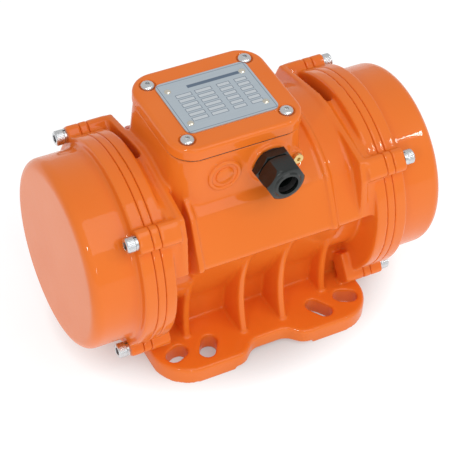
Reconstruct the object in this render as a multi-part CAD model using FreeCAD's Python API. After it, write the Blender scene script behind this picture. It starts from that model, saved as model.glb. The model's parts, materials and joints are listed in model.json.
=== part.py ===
"""Vibration motor: a foot-mounted electric motor with eccentric weights on both shaft ends.

The shaft lies along X. The foot stands on Z = 0, and the origin is the middle of the foot's
underside, below the middle of the stator. Front is -Y, where the cable enters. All sizes are
in millimetres. Both ends of the motor are alike, so each end piece is made once for an end
sign of -1 (left) or +1 (right).
"""
import FreeCAD, Part
import math
import os

V = FreeCAD.Vector
ENDS = {"left": -1, "right": 1}

# ---- foot plate -----------------------------------------------------------------------------
FOOT_LENGTH = 160.0          # along X
FOOT_WIDTH = 151.6           # along Y
FOOT_THICK = 13.0
FOOT_CORNER = 26.0           # corner radius in plan
FOOT_EDGE = 2.5              # radius along the top edge
WAIST_DEPTH = 9.5            # how far the long edges step in between the pads
WAIST_FLAT = 16.0            # straight part of the waist
WAIST_RAMP = 19.0            # length of each S-bend from waist to pad
RELIEF_LENGTH = 58.8         # the underside between the pads is cut back
RELIEF_HEIGHT = 2.0
SLOT_RADIUS = 5.5            # for M10 bolts
OUTER_HOLES = ((124.0, 110.0), (135.0, 115.0))   # the two hole patterns each outer slot joins
INNER_HOLES = ((80.0, 110.0), (90.0, 125.0))     # the two hole patterns each inner slot joins

# ---- shaft line, stator barrel and saddle ---------------------------------------------------
SHAFT_HEIGHT = 78.5
BORE_RADIUS = 42.5           # the stator sits in this bore
BARREL_RADIUS = 48.0
SADDLE_RADIUS = 66.0         # crown of the thick upper half of the casting
FACET_TOP = 47.0             # angles from the crown to the two edges of each flat facet
FACET_LOW = 77.0
SADDLE_EDGE = 2.5            # radius along the saddle's long edges
SADDLE_LEFT = 56.0           # the saddle's left end, from the middle
RING_WIDTH = 4.0             # raised rings around the saddle
RING_RISE = 2.0
RING_RIGHT = 45.5            # outer side of the right ring, from the middle
NECK_RADIUS = 50.0
PEDESTAL_HALF = 31.4         # half the pedestal's width just above the foot
FLARE_START = 21.0           # height above the foot where the pedestal starts to widen
FLARE_TUCK = 5.0             # the widened pedestal ends this far inside and under the saddle's edge
FLARE_BEND = 20.0            # radius where its sides turn outwards
WEB_SPACING = 30.0           # between the two middle webs
WEB_THICK = 5.0
END_WEB_X = 52.0             # middle plane of each end web
WEB_EDGE = 1.6               # radius along the webs' front edges
WEB_TOE = 59.8               # how far out the middle webs reach on the foot
WEB_WAIST = 50.8             # ... and at their narrowest
END_WEB_TOE = 47.5
END_WEB_WAIST = 44.5

# ---- end flanges, bearing flanges and end covers --------------------------------------------
FLANGE_RADIUS = 71.0
FLANGE_THICK = 8.0
FLANGE_FACE = 81.1           # machined face of the casting, from the middle
FLANGE_EDGE = 1.2
BEARING_FLANGE_THICK = 5.75
SPIGOT_RADIUS = 46.0
SPIGOT_LENGTH = 9.0
SPIGOT_WALL = 5.0
SCREW_CIRCLE = FLANGE_RADIUS + 2.0   # radius of the cover screws' circle
UPPER_LUG_ANGLE = 48.4       # from the crown
LOWER_LUG_ANGLE = 142.0
LUG_HALF_WIDTH = 8.0
LUG_OUTER = 5.6              # from the screw's axis to the lug's outer face
LUG_CORNER = 4.0
LUG_LENGTH = 14.0            # on the casting
FRAME_THICK = 4.5            # gable wall between the two upper lugs
FRAME_RISE = 1.0             # above the saddle's crown
FRAME_FILL_DROP = 2.0        # filled front pocket below the gable's top edge
FRAME_HALF_CROWN = 6.0       # half the gable's level top
FRAME_SHOULDER = 4.0         # its drop outside the upper lugs
COVER_RADIUS = FLANGE_RADIUS - 6.5
COVER_LENGTH = 40.85         # from the bearing flange to the outer face
COVER_WALL = 4.0
COVER_EDGE = 7.0
RIM_LENGTH = 9.0             # the lugs on the cover end flush with its rim
RIM_FILLET = 3.0
RIM_EDGE = 1.5
SEAL_THICK = 1.6             # ring seal between the cover's rim and the bearing flange
SEAL_DEPTH = 2.2
SEAL_GAP = 0.1
SEAL_RADIUS = COVER_RADIUS + 0.7     # middle of the seal's groove

# ---- terminal box and lid -------------------------------------------------------------------
BOX_X = -15.0                # the box sits nearer the left flange
BOX_HALF_X = 46.5
BOX_HALF_Y = 40.4
BOX_CORNER = 16.5
BOX_TOP = SHAFT_HEIGHT + 85.7
BOX_DRAFT = 0.07             # outward lean of the walls, per unit of height
BOX_WALL = 5.5
BOX_FLOOR = BOX_TOP - 30.2
BOX_BASE = BOX_TOP - 42.2    # the walls run down into the saddle to here
BOX_LIP = 0.8                # how far the lid stands out past the walls
GASKET_THICK = 0.8
LID_THICK = 9.2
LID_EDGE = 3.0
LID_SKIRT = 5.0              # the lid's underside is hollow inside a rim of this width
LID_HOLLOW = 5.0
LID_SCREW_X = 34.8
LID_SCREW_Y = 28.6
LID_BOSS_RADIUS = 6.5
COUNTERBORE_RADIUS = 5.6
COUNTERBORE_DEPTH = 1.5
PLATE_HALF_X = 32.5
PLATE_HALF_Y = 25.5
PLATE_CORNER = 5.0
PLATE_THICK = 0.8
RIVET_X = 26.5
RIVET_Y = 16.5
RIVET_SHANK = 1.2
RIVET_HEAD = 2.3
RIVET_RISE = 1.3
RIVET_LENGTH = 3.0
ENTRY_Z = BOX_TOP - 16.7     # height of the two cable entries
ENTRY_X = 3.0                # the gland's entry
KNOCKOUT_X = -29.0           # the closed entry beside it
ENTRY_BOSS_RADIUS = 14.5
ENTRY_BOSS_RISE = 2.2
KNOCKOUT_RADIUS = 11.5
KNOCKOUT_RING = 2.6
KNOCKOUT_RISE = 1.2
LEAD_HOLE_RADIUS = 8.0       # from the box floor down to the winding's end turns
LEAD_HOLE_X = -26.5          # from the box's middle
LEAD_BEND = 6.0

# ---- cable gland ----------------------------------------------------------------------------
GLAND_THREAD = 10.0          # M20
GLAND_BORE = 6.5
GLAND_FLATS = 25.0           # across flats
GLAND_BASE = 6.0
GLAND_NECK_RADIUS = 9.2
GLAND_NECK = 9.0
GLAND_STUB = 9.0             # thread below the hexagon
NUT_FLATS = 24.0
NUT_LENGTH = 15.0
NUT_NOSE_RADIUS = 9.6
NUT_DOME = 5.0
NUT_LIP = 2.0
GLAND_RING = 1.5             # sealing ring under the hexagon
INSERT_BORE = GLAND_BORE + 0.2
INSERT_GAP = 0.1
INSERT_TIP = 1.6
INSERT_LIP = 0.8             # rubber left at the tip

# ---- screws ---------------------------------------------------------------------------------
M6 = {"shank": 3.0, "head": 5.0, "rise": 6.0, "socket": 5.0, "depth": 3.0}
M5 = {"shank": 2.5, "head": 4.75, "rise": 3.0, "socket": 3.0, "depth": 1.6}
M4 = {"shank": 2.0, "head": 3.6, "rise": 2.4, "socket": 2.5, "depth": 1.3}
COVER_SCREW_LENGTH = 27.0
WASHER_THICK = 1.6
WASHER_RADIUS = 5.0
LID_SCREW_LENGTH = 18.0
THREAD_GAP = 0.05            # plain shanks stand for threads, this clear of their holes
HOLE_GAP = 0.4               # clearance holes

# ---- stator and rotor -----------------------------------------------------------------------
CORE_LENGTH = 64.0
SLOT_COUNT = 18
AIR_GAP = 0.45
ROTOR_RADIUS = 25.6
STATOR_SLOT_DEPTH = 9.0
STATOR_SLOT_WIDTH = 4.6
STATOR_TOOTH = 2.2           # iron between the slots and the air gap
WINDING_OVERHANG = 16.0
WINDING_ROUND = 3.5
ROTOR_BARS = 14
BAR_RADIUS = 2.2
BAR_CIRCLE = 21.5
END_RING_THICK = 7.0
END_RING_INNER = 16.5
CORE_SEAT = 13.0             # shaft radius under the rotor core
SHAFT_SHOULDER = 12.5
JOURNAL = 10.0               # shaft radius in the bearings
SHAFT_END_RADIUS = 9.0       # under the weights
SHAFT_REACH = 121.0          # shaft end, from the middle

# ---- ball bearings, 20 x 52 x 15 ------------------------------------------------------------
RACE_OUTER = 26.0
BEARING_WIDTH = 15.0
PITCH_RADIUS = 18.0
BALL_RADIUS = 4.76
BALL_COUNT = 7
RACE_GAP = 0.04              # between ball and groove
LAND_INNER = 14.4            # shoulder radii of the two races
LAND_OUTER = 21.6
CAGE_INNER = 16.6
CAGE_OUTER = 19.4
CAGE_WIDTH = 11.4
POCKET_GAP = 0.12
HOUSING_LIP = 2.0            # wall behind the bearing
HOUSING_WALL = 7.0
RETAINER_THICK = 2.2
RETAINER_RADIUS = 38.0
RETAINER_HOLE = 17.0
RETAINER_SCREWS = 3
RETAINER_CIRCLE = 32.5
RETAINER_SCREW_LENGTH = 8.0

# ---- eccentric weights ----------------------------------------------------------------------
WEIGHT_RADIUS = 54.0
WEIGHT_ANGLE = 80.0          # half the sector's angle
WEIGHT_HUB = 15.0
WEIGHT_THICK = 13.0
HUB_LENGTH = 17.6            # fixed weight's hub, from the bearing
WEIGHT_GAP = 0.6             # between the fixed and the adjustable weight
ADJUST_FIT = 0.03            # radial clearance of the adjustable weight on the shaft
CLAMP_SLIT = 2.4
CLAMP_HALF = 11.0            # half width of the clamp ears
CLAMP_TOP = 22.0             # top of the clamp ears above the shaft's axis
CLAMP_SCREW_Z = 16.0
KEY_WIDTH = 5.0
KEY_HEIGHT = 5.0
KEY_LENGTH = 12.0
CIRCLIP_THICK = 1.2
CIRCLIP_OUTER = 12.0
CIRCLIP_DEPTH = 0.8          # groove depth in the shaft
CIRCLIP_MOUTH = 60.0         # angle of the ring's opening

# ---- terminal block and earth screws --------------------------------------------------------
BLOCK_X = -6.0               # middle of the block
BLOCK_Y = 8.0
BLOCK_LENGTH = 52.0
BLOCK_WIDTH = 22.0
BLOCK_HEIGHT = 11.0
BLOCK_STEP = 4.0             # depth of the lower ledge that carries the studs
STUD_COUNT = 3
STUD_SPACING = 14.0
STUD_ROW = 5.5
STUD_RADIUS = 2.0
STUD_RISE = 9.0
STUD_NUT_FLATS = 7.0
STUD_NUT_HEIGHT = 3.2
BLOCK_SCREW_X = 22.5
EARTH_X = 22.5
EARTH_Z = BOX_TOP - 19.7
EARTH_PAD_RADIUS = 5.5
EARTH_PAD_RISE = 1.0
EARTH_SCREW_LENGTH = 7.0
INNER_EARTH = (-28.0, -20.0)  # on the box floor, from the box's middle
FLOOR_THREAD = 6.0           # depth of the threads in the box floor
LEAD_RADIUS = 1.3
LEAD_SPACING = 4.0

# ---- places that follow from the sizes above ------------------------------------------------
BEARING_FACE = FLANGE_FACE + BEARING_FLANGE_THICK      # where the covers start
COVER_FACE = BEARING_FACE + COVER_LENGTH
BEARING_BACK = BEARING_FACE - BEARING_WIDTH            # shoulder behind each bearing
LUG_BACK = FLANGE_FACE - LUG_LENGTH
FRAME_BACK = LUG_BACK - FRAME_THICK
LID_BASE = BOX_TOP + GASKET_THICK
LID_TOP = LID_BASE + LID_THICK
STATOR_INNER = ROTOR_RADIUS + AIR_GAP
WEIGHT_START = BEARING_FACE + HUB_LENGTH - WEIGHT_THICK
ADJUST_START = BEARING_FACE + HUB_LENGTH + WEIGHT_GAP
CIRCLIP_START = ADJUST_START + WEIGHT_THICK + WEIGHT_GAP
LUG_ANGLES = [-UPPER_LUG_ANGLE, UPPER_LUG_ANGLE, LOWER_LUG_ANGLE, -LOWER_LUG_ANGLE]


# ---- drawing helpers ------------------------------------------------------------------------
def polar(radius, degrees):
    """A point (y, z above the shaft) at an angle from the crown towards +Y."""
    angle = math.radians(degrees)
    return radius * math.sin(angle), radius * math.cos(angle)


def cross(x, point):
    """A point of a cross-section: (y, z above the shaft) in the plane at x."""
    return V(x, point[0], SHAFT_HEIGHT + point[1])


def outline(points, place):
    """A closed face. Each point is (a, b), or (middle, end) of an arc to it; place maps to 3-D."""
    edges = []
    here = points[0]
    for step in list(points[1:]) + [points[0]]:
        if isinstance(step[0], tuple):
            middle, end = step
            edges.append(Part.Arc(place(here), place(middle), place(end)).toShape())
        else:
            end = step
            if place(here).distanceToPoint(place(end)) < 1e-6:
                continue
            edges.append(Part.makeLine(place(here), place(end)))
        here = end
    return Part.Face(Part.Wire(edges))


def section(points, x_start, x_end):
    """A cross-section in Y and Z, drawn about the shaft, pulled from x_start to x_end."""
    face = outline(points, lambda p: cross(x_start, p))
    return face.extrude(V(x_end - x_start, 0, 0))


def turned(points):
    """A profile of (x, radius) turned about the shaft's axis."""
    face = outline(points, lambda p: V(p[0], 0, SHAFT_HEIGHT + p[1]))
    return face.revolve(V(0, 0, SHAFT_HEIGHT), V(1, 0, 0), 360)


def rod_x(radius, x_start, x_end, y=0.0, z=SHAFT_HEIGHT):
    return Part.makeCylinder(radius, x_end - x_start, V(x_start, y, z), V(1, 0, 0))


def rod_z(radius, z_start, z_end, x=0.0, y=0.0):
    return Part.makeCylinder(radius, z_end - z_start, V(x, y, z_start), V(0, 0, 1))


def rod_y(radius, y_start, y_end, x, z):
    return Part.makeCylinder(radius, y_end - y_start, V(x, y_start, z), V(0, 1, 0))


def block(x_start, x_end, y_start, y_end, z_start, z_end):
    return Part.makeBox(x_end - x_start, y_end - y_start, z_end - z_start, V(x_start, y_start, z_start))


def rounded(half_x, half_y, corner, z, x=0.0, y=0.0):
    """A rounded rectangle as a wire, level at z."""
    k = math.sqrt(0.5)
    edges = []
    corners = [(1, 1), (-1, 1), (-1, -1), (1, -1)]
    ends = []
    for sx, sy in corners:
        cx, cy = x + sx * (half_x - corner), y + sy * (half_y - corner)
        side_x = V(cx + sx * corner, cy, z)
        side_y = V(cx, cy + sy * corner, z)
        start, end = (side_x, side_y) if sx * sy > 0 else (side_y, side_x)
        middle = V(cx + sx * corner * k, cy + sy * corner * k, z)
        ends.append((start, end))
        edges.append(Part.Arc(start, middle, end).toShape())
    for i in range(4):
        edges.append(Part.makeLine(ends[i][1], ends[(i + 1) % 4][0]))
    return Part.Wire(Part.__sortEdges__(edges))


def hexagon(flats, length, base, direction):
    """A hexagonal prism from base along direction."""
    corner = flats / math.sqrt(3)
    points = [V(corner * math.cos(math.radians(60 * i)), corner * math.sin(math.radians(60 * i)), 0)
              for i in range(7)]
    prism = Part.Face(Part.makePolygon(points)).extrude(V(0, 0, length))
    prism.Placement = FreeCAD.Placement(base, FreeCAD.Rotation(V(0, 0, 1), direction))
    return prism


def joined(shapes):
    """One solid made of overlapping or touching shapes."""
    whole = shapes[0].fuse(shapes[1:]) if len(shapes) > 1 else shapes[0]
    return whole.removeSplitter()


def edges_along(shape, axis, test=lambda middle: True):
    """The shape's straight edges along an axis whose middle passes the test."""
    found = []
    for edge in shape.Edges:
        if edge.Curve.TypeId != "Part::GeomLine":
            continue
        direction = edge.Vertexes[-1].Point.sub(edge.Vertexes[0].Point)
        if direction.getAngle(axis) % math.pi < 1e-4 or math.pi - direction.getAngle(axis) < 1e-4:
            if test(edge.CenterOfMass):
                found.append(edge)
    return found


def mirrored(shape):
    """The shape's image at the other end of the motor."""
    return shape.mirror(V(0, 0, 0), V(1, 0, 0))


def at_end(shape, end):
    """A piece drawn for the right end, put at the end with this sign."""
    return shape if end > 0 else mirrored(shape)


def socket_screw(size, length, head_face, direction):
    """A cap screw: its head's underside sits at head_face and its shank runs along direction."""
    back = V(direction).multiply(-1)
    head = Part.makeCylinder(size["head"], size["rise"], head_face, back)
    head = head.makeFillet(size["rise"] * 0.12, [head.Edges[0]])
    tip = head_face.add(V(back).multiply(size["rise"] - size["depth"]))
    shank = Part.makeCylinder(size["shank"], length, head_face, direction)
    return head.fuse(shank).cut(hexagon(size["socket"], size["rise"], tip, back))


def lug_points():
    """The centre of each cover screw as (y, z above the shaft)."""
    return [polar(SCREW_CIRCLE, angle) for angle in LUG_ANGLES]


def lugs(x_start, x_end):
    """The four screw lugs between two planes, with rounded outer corners."""
    pieces = []
    inner = FLANGE_RADIUS * 0.8
    outer = SCREW_CIRCLE + LUG_OUTER
    k = LUG_CORNER * (1 - math.sqrt(0.5))
    for angle in LUG_ANGLES:
        def place(p):
            y, z = polar(p[1], angle)
            along_y, along_z = polar(p[0], angle + 90)
            return cross(x_start, (y + along_y, z + along_z))
        side = LUG_HALF_WIDTH
        points = [(-side, inner), (side, inner), (side, outer - LUG_CORNER),
                  ((side - k, outer - k), (side - LUG_CORNER, outer)),
                  (LUG_CORNER - side, outer),
                  ((k - side, outer - k), (-side, outer - LUG_CORNER))]
        pieces.append(outline(points, place).extrude(V(x_end - x_start, 0, 0)))
    return pieces


def screw_holes(radius, x_start, x_end):
    return [rod_x(radius, x_start, x_end, y, SHAFT_HEIGHT + z) for y, z in lug_points()]


# ---- the casting ----------------------------------------------------------------------------
def foot_plate():
    """The foot: two pads with large round corners and a waist between them on each long edge."""
    half_x, half_y = FOOT_LENGTH / 2, FOOT_WIDTH / 2
    plate = Part.Face(rounded(half_x, half_y, FOOT_CORNER, 0)).extrude(V(0, 0, FOOT_THICK))
    for side in (-1, 1):
        plate = plate.cut(waist_cutter(side))
    plate = plate.makeFillet(FOOT_EDGE, top_edges(plate, FOOT_THICK))
    relief = block(-RELIEF_LENGTH / 2, RELIEF_LENGTH / 2, -half_y, half_y, 0, RELIEF_HEIGHT)
    return plate.cut(relief)


def waist_cutter(side):
    """The metal taken away between two pads, bounded by two S-bends."""
    edge = side * FOOT_WIDTH / 2
    floor = edge - side * WAIST_DEPTH
    flat, ramp = WAIST_FLAT / 2, WAIST_RAMP
    handle = ramp * 0.5
    bends = []
    for sx in (-1, 1):
        curve = Part.BezierCurve()
        curve.setPoles([V(sx * (flat + ramp), edge, 0), V(sx * (flat + ramp - handle), edge, 0),
                        V(sx * (flat + handle), floor, 0), V(sx * flat, floor, 0)])
        bends.append(curve.toShape())
    far = V(flat + ramp, edge + side * WAIST_DEPTH, 0)
    far_left = V(-far.x, far.y, 0)
    lines = [Part.makeLine(V(-flat, floor, 0), V(flat, floor, 0)),
             Part.makeLine(V(flat + ramp, edge, 0), far), Part.makeLine(far, far_left),
             Part.makeLine(far_left, V(-flat - ramp, edge, 0))]
    wire = Part.Wire(Part.__sortEdges__(bends + lines))
    return Part.Face(wire).extrude(V(0, 0, FOOT_THICK))


def top_edges(shape, z):
    return [e for e in shape.Edges
            if abs(e.BoundBox.ZMin - z) < 1e-4 and abs(e.BoundBox.ZMax - z) < 1e-4]


def foot_slots():
    """Eight bolt slots: at each corner an outer and an inner one, each joining two hole patterns."""
    cutters = []
    for near, far in (OUTER_HOLES, INNER_HOLES):
        for sx in (-1, 1):
            for sy in (-1, 1):
                start = V(sx * near[0] / 2, sy * near[1] / 2, 0)
                end = V(sx * far[0] / 2, sy * far[1] / 2, 0)
                cutters.append(slot(start, end))
    return cutters


def slot(start, end):
    """A through slot with round ends about two hole centres."""
    along = end.sub(start)
    across = V(-along.y, along.x, 0).normalize().multiply(SLOT_RADIUS)
    past_start = start.sub(V(along).normalize().multiply(SLOT_RADIUS))
    past_end = end.add(V(along).normalize().multiply(SLOT_RADIUS))
    edges = [Part.makeLine(start.add(across), end.add(across)),
             Part.Arc(end.add(across), past_end, end.sub(across)).toShape(),
             Part.makeLine(end.sub(across), start.sub(across)),
             Part.Arc(start.sub(across), past_start, start.add(across)).toShape()]
    return Part.Face(Part.Wire(edges)).extrude(V(0, 0, FOOT_THICK))


def saddle(grow, x_start, x_end):
    """The thick upper half: a round crown, a flat facet on each side and an undercut edge."""
    radius = SADDLE_RADIUS + grow
    top = polar(radius, FACET_TOP)
    low = polar(radius, FACET_LOW)
    tuck = low[0] - BARREL_RADIUS * 0.96
    inner = (low[0] - tuck, low[1] - tuck)
    points = [(-top[0], top[1]), ((0, radius), top), low, inner, (-inner[0], inner[1]), (-low[0], low[1])]
    body = section(points, x_start, x_end)
    long_edges = edges_along(body, V(1, 0, 0), lambda m: m.z > SHAFT_HEIGHT + low[1] - 0.01)
    return body.makeFillet(SADDLE_EDGE, long_edges)


def web(x, toe, waist):
    """A web from the saddle's edge down to the foot, with a hollow front edge on both sides."""
    low = polar(SADDLE_RADIUS, FACET_LOW)
    foot = FOOT_THICK - SHAFT_HEIGHT - 1.0
    top = low[1] - 5.0
    middle = (foot + top) / 2
    points = [(-low[0] + 4.0, top), (low[0] - 4.0, top), ((waist, middle), (toe, foot)),
              (-toe, foot), ((-waist, middle), (-low[0] + 4.0, top))]
    plate = section(points, x - WEB_THICK / 2, x + WEB_THICK / 2)
    front = [e for e in plate.Edges if e.Curve.TypeId == "Part::GeomCircle"]
    return plate.makeFillet(WEB_EDGE, front)


def gable_points(drop):
    """The end frame's outline: from the crown straight out to both upper lugs."""
    crown = SADDLE_RADIUS + FRAME_RISE - drop
    lug = polar(SCREW_CIRCLE + LUG_OUTER - drop, UPPER_LUG_ANGLE - 4)
    side = polar(SCREW_CIRCLE + LUG_OUTER - FRAME_SHOULDER - drop, UPPER_LUG_ANGLE + 6)
    low = polar(SADDLE_RADIUS, FACET_LOW)
    return crown, lug, side, low


def end_frame():
    """The right end's gable wall, and the filled pocket between it and the flange in front."""
    crown, lug, side, low = gable_points(0)
    wall = section([(-FRAME_HALF_CROWN, crown), (FRAME_HALF_CROWN, crown), lug, side, low, (-low[0], low[1]),
                    (-side[0], side[1]), (-lug[0], lug[1])], FRAME_BACK, LUG_BACK)
    crown, lug, side, low = gable_points(FRAME_FILL_DROP)
    fill = section([(0, crown), (0, 0), (-low[0], low[1]), (-side[0], side[1]), (-lug[0], lug[1]),
                    (-FRAME_HALF_CROWN, crown)], LUG_BACK, FLANGE_FACE - FLANGE_THICK)
    return [wall, fill]


def casting_end():
    """The right flange with its lugs, end frame and neck."""
    flange = rod_x(FLANGE_RADIUS, FLANGE_FACE - FLANGE_THICK, FLANGE_FACE)
    inner_rim = [e for e in flange.Edges if abs(e.CenterOfMass.x - FLANGE_FACE + FLANGE_THICK) < 0.01]
    flange = flange.makeFillet(FLANGE_EDGE, inner_rim[:1])
    neck = rod_x(NECK_RADIUS, END_WEB_X, FLANGE_FACE - FLANGE_THICK + 1)
    return [flange, neck] + lugs(LUG_BACK, FLANGE_FACE) + end_frame()


def rounded_tower(half_x, half_y, corner, z_start, z_end, draft):
    """A lofted box that widens downwards by draft per unit of height."""
    lean = (z_end - z_start) * draft
    low = rounded(half_x + lean, half_y + lean, corner + lean, z_start, BOX_X)
    high = rounded(half_x, half_y, corner, z_end, BOX_X)
    return Part.makeLoft([low, high], True, True)


def wall_y(z):
    """The front wall's outer face at a height."""
    return -(BOX_HALF_Y - BOX_LIP + (BOX_TOP - z) * BOX_DRAFT)


def box_outside():
    """The terminal box's walls, its gland boss, the closed entry's ring and the earth pad."""
    tower = rounded_tower(BOX_HALF_X - BOX_LIP, BOX_HALF_Y - BOX_LIP, BOX_CORNER, BOX_BASE, BOX_TOP, BOX_DRAFT)
    face = wall_y(ENTRY_Z)
    boss = rod_y(ENTRY_BOSS_RADIUS, face - ENTRY_BOSS_RISE, face + BOX_WALL, ENTRY_X, ENTRY_Z)
    boss = boss.makeFillet(1.0, front_rim(boss))
    ring = rod_y(KNOCKOUT_RADIUS, face - KNOCKOUT_RISE, face + 2.0, KNOCKOUT_X, ENTRY_Z)
    ring = ring.makeFillet(0.8, front_rim(ring))
    ring = ring.cut(rod_y(KNOCKOUT_RADIUS - KNOCKOUT_RING, face - KNOCKOUT_RISE, face, KNOCKOUT_X, ENTRY_Z))
    disc = rod_y(KNOCKOUT_RADIUS - 2 * KNOCKOUT_RING, face - KNOCKOUT_RISE, face + 2.0, KNOCKOUT_X, ENTRY_Z)
    pad = rod_y(EARTH_PAD_RADIUS, wall_y(EARTH_Z) - EARTH_PAD_RISE, wall_y(EARTH_Z) + 2.0, EARTH_X, EARTH_Z)
    return [tower, boss, ring, disc, pad]


def front_rim(shape):
    """The round edge nearest the front."""
    nearest = min(e.BoundBox.YMax for e in shape.Edges)
    return [e for e in shape.Edges if e.BoundBox.YMax < nearest + 1e-4]


def lid_screw_points():
    return [(BOX_X + sx * LID_SCREW_X, sy * LID_SCREW_Y) for sx in (-1, 1) for sy in (-1, 1)]


def box_hollow():
    """The terminal box's inside, with the screw bosses left standing in its corners."""
    inside = rounded_tower(BOX_HALF_X - BOX_LIP - BOX_WALL, BOX_HALF_Y - BOX_LIP - BOX_WALL,
                           BOX_CORNER - BOX_WALL, BOX_FLOOR, BOX_TOP, 0.0)
    bosses = [rod_z(LID_BOSS_RADIUS, BOX_FLOOR, BOX_TOP, x, y) for x, y in lid_screw_points()]
    return inside.cut(bosses)


def pedestal():
    """What carries the barrel: straight walls by the foot that flare out to the saddle's edges."""
    low = polar(SADDLE_RADIUS, FACET_LOW)
    foot = FOOT_THICK - SHAFT_HEIGHT - 1.0
    top = (low[0] - FLARE_TUCK, low[1] - FLARE_TUCK)
    bend = (PEDESTAL_HALF, FOOT_THICK + FLARE_START - SHAFT_HEIGHT)
    side = [top, bend, (PEDESTAL_HALF, foot)]
    flared = section([(-y, z) for y, z in reversed(side)] + side, -END_WEB_X, END_WEB_X)
    bends = edges_along(flared, V(1, 0, 0), lambda m: abs(m.z - bend[1] - SHAFT_HEIGHT) < 0.01)
    flared = flared.makeFillet(FLARE_BEND, bends)
    end = FLANGE_FACE - FLANGE_THICK + 1
    straight = block(-end, end, -PEDESTAL_HALF, PEDESTAL_HALF, FOOT_THICK - 1, SHAFT_HEIGHT)
    return [flared, straight]


def body_casting():
    """The motor body: foot, webs, barrel, saddle, end flanges and terminal box in one casting."""
    barrel = rod_x(BARREL_RADIUS, -END_WEB_X, END_WEB_X)
    rings = [saddle(RING_RISE, -SADDLE_LEFT, -SADDLE_LEFT + RING_WIDTH),
             saddle(RING_RISE, RING_RIGHT - RING_WIDTH, RING_RIGHT)]
    webs = [web(x, WEB_TOE, WEB_WAIST) for x in (-WEB_SPACING / 2, WEB_SPACING / 2)]
    webs += [web(x, END_WEB_TOE, END_WEB_WAIST) for x in (-END_WEB_X, END_WEB_X)]
    right = casting_end()
    left = [mirrored(piece) for piece in right]
    outside = joined([foot_plate(), barrel, saddle(0, -SADDLE_LEFT, FRAME_BACK)]
                     + pedestal() + rings + webs + right + left + box_outside())
    spigots = [at_end(rod_x(SPIGOT_RADIUS, FLANGE_FACE - SPIGOT_LENGTH - 3.0, FLANGE_FACE), end)
               for end in ENDS.values()]
    threads = screw_holes(M6["shank"] + THREAD_GAP, LUG_BACK + 2.0, FLANGE_FACE)
    threads += [mirrored(hole) for hole in threads]
    lid_threads = [rod_z(M5["shank"] + THREAD_GAP, BOX_TOP - LID_SCREW_LENGTH, BOX_TOP, x, y)
                   for x, y in lid_screw_points()]
    floor_threads = [rod_z(M4["shank"] + THREAD_GAP, BOX_FLOOR - FLOOR_THREAD, BOX_FLOOR, x, y)
                     for x, y in floor_screws()]
    face = wall_y(ENTRY_Z)
    cutters = [rod_x(BORE_RADIUS, -FLANGE_FACE, FLANGE_FACE), box_hollow(), lead_hole(), earth_hole(),
               rod_y(GLAND_THREAD + THREAD_GAP, face - ENTRY_BOSS_RISE, face + BOX_WALL + 3.0, ENTRY_X, ENTRY_Z)]
    return outside.cut(cutters + spigots + threads + lid_threads + floor_threads + foot_slots())


def lead_hole():
    return rod_z(LEAD_HOLE_RADIUS, SHAFT_HEIGHT, BOX_FLOOR, BOX_X + LEAD_HOLE_X, 0)


def earth_hole():
    face = wall_y(EARTH_Z) - EARTH_PAD_RISE
    return rod_y(M4["shank"] + THREAD_GAP, face, face + EARTH_SCREW_LENGTH + 0.5, EARTH_X, EARTH_Z)


def floor_screws():
    """Where the terminal block's two screws and the inner earth screw go into the box floor."""
    return block_screw_points() + [(BOX_X + INNER_EARTH[0], INNER_EARTH[1])]


# ---- bearing flange, cover and their fasteners ------------------------------------------------
def bearing_flange():
    """A flanged disc: a spigot that centres it in the casting, and the ball bearing's housing."""
    hub = RACE_OUTER + HOUSING_WALL
    back = BEARING_BACK - HOUSING_LIP
    inner_spigot = SPIGOT_RADIUS - SPIGOT_WALL
    profile = [(BEARING_FACE, RACE_OUTER), (BEARING_FACE, FLANGE_RADIUS), (FLANGE_FACE, FLANGE_RADIUS),
               (FLANGE_FACE, SPIGOT_RADIUS - THREAD_GAP),
               (FLANGE_FACE - SPIGOT_LENGTH, SPIGOT_RADIUS - THREAD_GAP),
               (FLANGE_FACE - SPIGOT_LENGTH, inner_spigot), (FLANGE_FACE, inner_spigot), (FLANGE_FACE, hub),
               (back, hub), (back, SHAFT_SHOULDER + 1.0), (BEARING_BACK, SHAFT_SHOULDER + 1.0),
               (BEARING_BACK, RACE_OUTER)]
    disc = joined([turned(profile)] + lugs(FLANGE_FACE, BEARING_FACE))
    seal_groove = turned(seal_profile(SEAL_GAP))
    screws = [rod_x(M4["shank"] + THREAD_GAP, BEARING_FACE - RETAINER_SCREW_LENGTH, BEARING_FACE, y, z)
              for y, z in retainer_points()]
    disc = disc.cut(rod_x(SHAFT_SHOULDER + 1.0, back - 1, BEARING_BACK + 0.1))
    return disc.cut([seal_groove] + screws + screw_holes(M6["shank"] + HOLE_GAP, FLANGE_FACE, BEARING_FACE))


def seal_profile(gap):
    """The seal's section, or with a gap the groove that holds it."""
    inner = SEAL_RADIUS - SEAL_THICK / 2 - gap
    outer = SEAL_RADIUS + SEAL_THICK / 2 + gap
    back = BEARING_FACE - SEAL_DEPTH - gap
    return [(back, inner), (BEARING_FACE, inner), (BEARING_FACE, outer), (back, outer)]


def cover_seal():
    return turned(seal_profile(0.0))


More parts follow.
